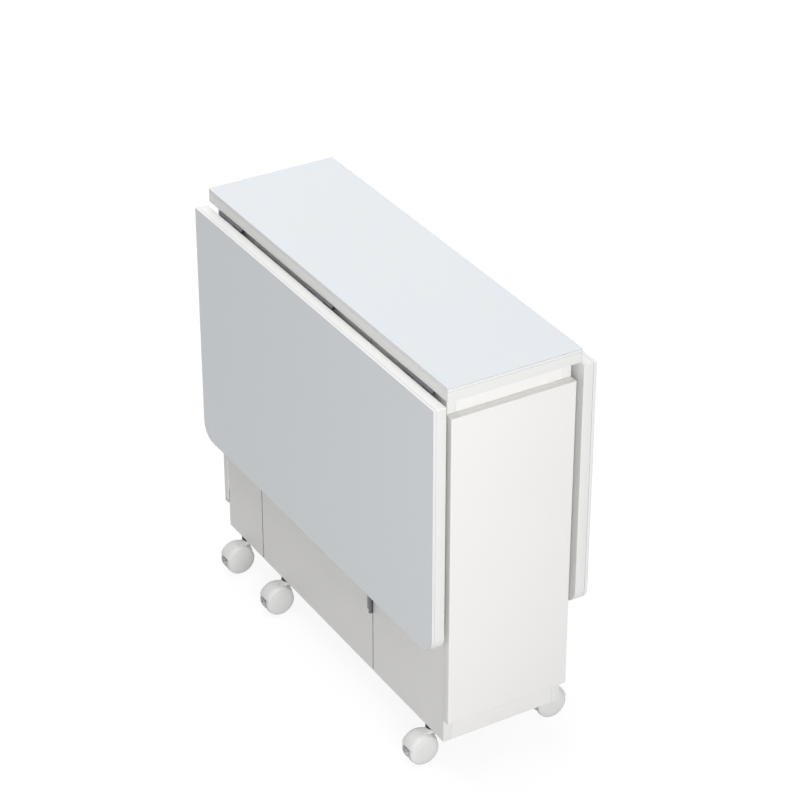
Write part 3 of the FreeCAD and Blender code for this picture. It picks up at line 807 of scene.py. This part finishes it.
def cheek(start):
    """Grid of the bevelled disc beside one wheel, turned about the axle from x = start."""
    rim, bevel, thick = 24, 0.6, 2.7
    line = [
        (0, AXLE_BORE), (0, rim - bevel), (bevel, rim),
        (thick - bevel, rim), (thick, rim - bevel), (thick, AXLE_BORE),
    ]
    return turned([(start + x, radius) for x, radius in line], (0, 0, 0), 0, 48)


def web():
    """Grid of the plate between the cheeks: a disc whose rim stops at the slot for the pedal's arm."""
    radius, half_wide = 23.9, 2.35
    from_low, to_high = 182, 512
    slot_end, slot_low, slot_high = -12.9, 0.8, 11.2
    t = np.radians(np.linspace(from_low, to_high, 56))
    rim = radius * np.stack([np.cos(t), np.sin(t)], 1)
    line = np.concatenate([rim, [(slot_end, slot_high), (slot_end, slot_low)]])
    return plate(line, -half_wide, half_wide, (1, 2, 0), 0.2, 0.2)


def cap():
    """Grid of the round cap on the king pin: a disc with rounded rims over a narrower foot."""
    line = [
        (27.7, 8.2), (27.5, 9.2), (27.7, 9.8), (28.4, 10), (31.4, 10), (32.2, 9.7), (32.8, 9.1),
        (33.1, 8.5), (33.2, 7.8), (33.2, 3.3),
    ]
    return turned(line, (0, SWIVEL_OFFSET, 0), 2, 56)


def neck():
    """Grids of the neck from the web up to the cap, and of the flat shoulder over the wheels."""
    rise = across([(4, 8), (19, 8), (30, 24), (30, 30.5), (21, 32), (4, 29)], (2, 3, 3, 2, 6, 2), 5, 1.6)
    corners = [(3, 28.7), (9, 27.5), (15, 25.6), (30.4, 26.6), (30.4, 30), (20, 31.8), (3, 30.2)]
    return rise, across(corners, (0.6, 6, 6, 1.4, 1.4, 5, 0.6), 8.6, 0.8)


def wheel_pair(steps):
    """Grids of both wheels and their axle, and the finish number of each face, 1 on the treads."""
    profile = wheel_profile()
    wheel = turned(profile, (0, 0, 0), 0, steps)
    axle_steps = 32
    axle = turned([(-6.4, 2.8), (-6.4, 3), (6.4, 3), (6.4, 2.8)], (0, 0, 0), 0, axle_steps)
    tyre = np.zeros(len(profile) - 1, int)
    tyre[1:6] = 1
    one = np.concatenate([np.repeat(tyre, steps), [0, 0]])
    which = np.concatenate([one, one, np.zeros(3 * axle_steps + 2, int)])
    return (wheel, wheel * np.array([-1, 1, 1]), axle), which


def pedal():
    """Grids of the pedal's ridged tab and of the flat arm that carries it in the slot."""
    tab = ridged_block((-4.3, -31.6, 1.5), (4.3, -24.8, 8.1), 3)
    corners = [(-27, 3.5), (-15.2, 3.5), (-14.4, 6), (-15.2, 8.5), (-27, 8.5)]
    return tab, across(corners, (1, 2, 2, 2, 1), 2, 0.5, steps=4)


def collar(spot):
    """Grid of a king pin, the black collar over it and the stem above, turned about the swivel."""
    line = [
        (49.8, 2.4), (50.4, 3), (61.5, 3), (61.5, 7.4), (61.9, 8.1), (62.8, 8.5), (63.2, 9.5), (63.7, 10),
        (66.2, 10), (66.8, 9.7), (67, 9.2), (67, 4), (96.4, 4), (97, 3.4),
    ]
    return turned(line, spot, 2, 48)


def caster_place(name):
    """Wheels' middle of a caster, and 1 where the swivel lies towards +Y of it or -1 where it doesn't."""
    low, high = millimetres(f"caster_wheels_{name}")
    return (low + high) / 2, 1 if name.startswith("front") else -1


def set_down(grid, name):
    """A grid drawn round a caster's wheels, put in that caster's place, turned half round at the back."""
    middle, way = caster_place(name)
    return grid * np.array([way, way, 1]) + middle


class MESH_OT_table_casters(bpy.types.Operator):
    """Make the collar, hooded body, wheel pair and brake pedal of each of the six casters"""

    bl_idname = "mesh.table_casters"
    bl_label = "Casters"
    bl_options = {"REGISTER", "UNDO"}

    def execute(self, context):
        body_grids = (hood_grid(), cheek(-5.0), cheek(2.3), web(), cap(), *neck())
        wheel_grids, which = wheel_pair(context.scene.table_casters.steps)
        collars = []
        for name in CASTERS:
            swivel = f"swivel_{name}"
            body = gather([skin(set_down(g, name)) for g in body_grids])
            piece(
                f"caster_hood_{name}", body, [nylon()], swivel, [f"caster_body_{name}"],
                sharp=40,
            )
            pair = gather([skin(set_down(g, name)) for g in wheel_grids])
            piece(
                f"caster_wheel_pair_{name}", pair, [nylon(), tread()], f"wheels_{name}",
                [f"caster_wheels_{name}"], which, sharp=40,
            )
            press = gather([skin(set_down(g, name)) for g in pedal()])
            piece(
                f"caster_brake_pedal_{name}", press, [grey_plastic()], f"pedal_{name}",
                [f"caster_pedal_{name}"], sharp=50,
            )
            middle, way = caster_place(name)
            collars.append(skin(collar((middle[0], middle[1] + SWIVEL_OFFSET * way, 0))))
        piece(
            "caster_collar_rings", gather(collars), [black_plastic()], "cabinet",
            ["caster_collars"],
        )
        return {"FINISHED"}


# ---------------------------------------------------------------- stage


class TableStage(bpy.types.PropertyGroup):
    """Light and floor."""

    ambient: FloatProperty(name="Soft light", description="Light from all round", default=0.32, min=0, max=2)
    top: FloatProperty(
        name="Top lamp", description="Power of the large lamp above the table", default=85,
        min=0, max=400, unit="POWER",
    )
    side: FloatProperty(
        name="Side lamp", description="Power of the large lamp beyond the right end", default=96,
        min=0, max=400, unit="POWER",
    )
    back: FloatProperty(
        name="Back lamp", description="Power of the weaker lamp behind the left end", default=38,
        min=0, max=400, unit="POWER",
    )
    floor: FloatVectorProperty(
        name="Floor", description="Colour that the floor throws back on the table", subtype="COLOR",
        size=3, min=0, max=1, default=linear("#B2B2B2"),
    )


def seen_direct(tree):
    """1 for rays that show the background itself: from the camera, a reflection or a clear part."""
    path = add(tree, "ShaderNodeLightPath")
    some = add(tree, "ShaderNodeMath", {0: path.outputs["Is Camera Ray"], 1: path.outputs["Is Glossy Ray"]})
    every = add(
        tree, "ShaderNodeMath", {0: some.outputs[0], 1: path.outputs["Is Transmission Ray"]}, use_clamp=True
    )
    return every.outputs[0]


def floor_grid(radius=7.0):
    """Grid of a round level floor, rings closer together near its middle: radius R s^2."""
    s = np.linspace(0.02, 1, 24)[:, None]
    t = np.linspace(0, 2 * math.pi, 96, endpoint=False)
    return np.stack([radius * s**2 * np.cos(t), radius * s**2 * np.sin(t), 0 * s * t], -1) * 1000


class SCENE_OT_table_stage(bpy.types.Operator):
    """Set up the floor, the soft light and the camera"""

    bl_idname = "scene.table_stage"
    bl_label = "Stage"
    bl_options = {"REGISTER", "UNDO"}

    def execute(self, context):
        scene = context.scene
        looks = scene.table_stage
        scene.view_settings.view_transform = "Standard"

        world = bpy.data.worlds.new("soft_studio")
        scene.world = world
        world.use_nodes = True
        tree = world.node_tree
        tree.nodes.clear()
        light = add(tree, "ShaderNodeBackground", {"Color": (1, 1, 1, 1), "Strength": looks.ambient})
        white = add(tree, "ShaderNodeBackground", {"Color": (1, 1, 1, 1), "Strength": 1.0})
        sides = {1: light.outputs[0], 2: white.outputs[0]}
        mix = add(tree, "ShaderNodeMixShader", {0: seen_direct(tree), **sides})
        add(tree, "ShaderNodeOutputWorld", {"Surface": mix.outputs[0]})

        points, faces = skin(floor_grid())
        mesh = bpy.data.meshes.new("floor")
        mesh.from_pydata((points / 1000).tolist(), [], faces[:-1])
        floor = bpy.data.objects.new("floor", mesh)
        scene.collection.objects.link(floor)
        matt = bpy.data.materials.new("pale_studio_floor")
        matt.use_nodes = True
        tree = matt.node_tree
        tree.nodes.clear()
        direct = seen_direct(tree)
        shades = {"A": (*looks.floor, 1), "B": (0.95, 0.95, 0.95, 1)}
        tint = add(tree, "ShaderNodeMix", {"Factor": direct, **shades}, data_type="RGBA")
        paint = add(tree, "ShaderNodeBsdfDiffuse", {"Color": tint.outputs["Result"]})
        glow = add(tree, "ShaderNodeEmission", {"Color": (1, 1, 1, 1), "Strength": 1.04})
        part = add(tree, "ShaderNodeMath", {0: direct, 1: 0.85}, operation="MULTIPLY")
        mix = add(tree, "ShaderNodeMixShader", {0: part.outputs[0], 1: paint.outputs[0], 2: glow.outputs[0]})
        add(tree, "ShaderNodeOutputMaterial", {"Surface": mix.outputs[0]})
        mesh.materials.append(matt)

        for name, power, size, spot, aim in (
            ("top_lamp", looks.top, 2.4, (-0.6, -0.3, 4.2), (0, 0, 0.4)),
            ("side_lamp", looks.side, 2.4, (3.4, -1.3, 1.5), (0, 0, 0.4)),
            ("back_lamp", looks.back, 2.4, (-3.0, 1.8, 1.5), (0, 0, 0.4)),
        ):
            lamp = bpy.data.lights.new(name, "AREA")
            lamp.energy = power
            lamp.size = size
            holder = bpy.data.objects.new(name, lamp)
            way = np.array(aim) - np.array(spot)
            level = math.hypot(way[0], way[1])
            holder.rotation_euler = (math.atan2(level, -way[2]), 0, math.atan2(way[1], way[0]) - math.pi / 2)
            holder.location = spot
            holder.visible_glossy = name == "top_lamp"
            scene.collection.objects.link(holder)

        lens = bpy.data.cameras.new("camera")
        lens.lens = 122.67
        lens.sensor_width = 36
        camera = bpy.data.objects.new("camera", lens)
        camera.location = (3.4388, -2.0118, 2.8793)
        camera.rotation_euler = (math.radians(59.137), 0, math.radians(59.333))
        scene.collection.objects.link(camera)
        scene.camera = camera
        return {"FINISHED"}


# ---------------------------------------------------------------- panel and registration

STEPS = (
    ("mesh.table_boards", "table_boards", ("face", "edge", "rounding")),
    ("mesh.table_glass", "table_glass", ("paint", "arris")),
    ("mesh.table_hinges", "table_hinges", ("steel", "screw", "head")),
    ("mesh.table_doors", None, ()),
    ("mesh.table_casters", "table_casters", ("nylon", "pedal", "steps")),
    ("scene.table_stage", "table_stage", ("ambient", "top", "side", "back", "floor")),
)


class VIEW3D_PT_table(bpy.types.Panel):
    """Sizes, colours and steps of the table"""

    bl_label = "Drop-leaf table"
    bl_space_type = "VIEW_3D"
    bl_region_type = "UI"
    bl_category = "Table"

    def draw(self, context):
        for step, group, names in STEPS:
            box = self.layout.box()
            for name in names:
                box.prop(getattr(context.scene, group), name)
            box.operator(step)


GROUPS = {
    "table_boards": TableBoards,
    "table_glass": TableGlass,
    "table_hinges": TableHinges,
    "table_casters": TableCasters,
    "table_stage": TableStage,
}
CLASSES = (
    *GROUPS.values(),
    MESH_OT_table_boards,
    MESH_OT_table_glass,
    MESH_OT_table_hinges,
    MESH_OT_table_doors,
    MESH_OT_table_casters,
    SCENE_OT_table_stage,
    VIEW3D_PT_table,
)


def register():
    for each in CLASSES:
        bpy.utils.register_class(each)
    for name, group in GROUPS.items():
        setattr(bpy.types.Scene, name, PointerProperty(type=group))


def unregister():
    for name in GROUPS:
        delattr(bpy.types.Scene, name)
    for each in reversed(CLASSES):
        bpy.utils.unregister_class(each)


def main():
    """Registers the add-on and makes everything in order."""
    register()
    for step, _, _ in STEPS:
        area, name = step.split(".")
        getattr(getattr(bpy.ops, area), name)()


if __name__ == "__main__":
    main()
